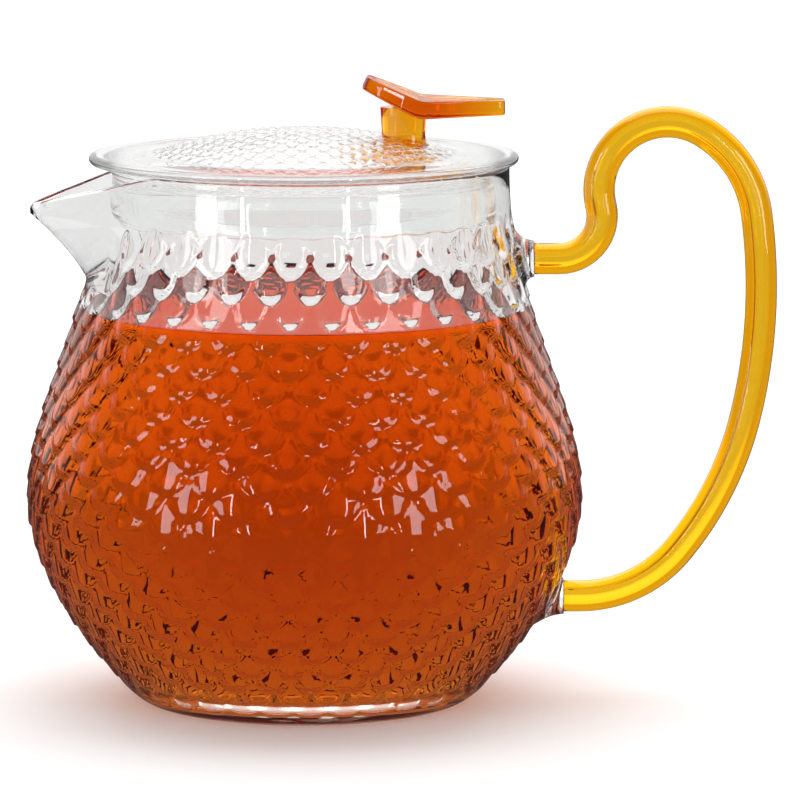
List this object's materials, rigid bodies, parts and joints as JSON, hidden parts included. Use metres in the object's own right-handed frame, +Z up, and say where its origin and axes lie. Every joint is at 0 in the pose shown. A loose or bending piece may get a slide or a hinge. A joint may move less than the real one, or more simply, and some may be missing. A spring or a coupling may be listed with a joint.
{
  "type": "glass teapot",
  "caption": "Clear glass teapot with a scale-relief body, pulled pouring lip, domed lift-off lid with an amber leaf knob, and a hollow amber glass loop handle",
  "frame": {"origin": "centre of the flat that the pot stands on, on its vertical axis", "axes": "+Z up along the pot's axis, +X towards the handle, so the pouring lip points to -X"},
  "size_m": [0.1762, 0.1312, 0.1473],
  "materials": {
    "clear_glass": "smooth clear borosilicate glass with a fine pressed scale relief on its outside",
    "amber_glass": "deep amber pressed glass with fine radial vein ridges",
    "yellow_glass": "smooth glossy hollow amber-yellow glass tube",
    "tea": "clear orange-brown brewed black tea with a still, glossy surface"
  },
  "bodies": {
    "pot": {"body": "clear_glass", "handle": "yellow_glass", "handle_upper_joint": "clear_glass", "handle_lower_joint": "clear_glass"},
    "lid": {"lid": "clear_glass", "lid_knob": "amber_glass"}
  },
  "joints": [
    {"name": "lid_lift", "type": "slide", "parent": "pot", "child": "lid", "axis": [0, 0, 1], "range_m": [0, 0.06]}
  ]
}
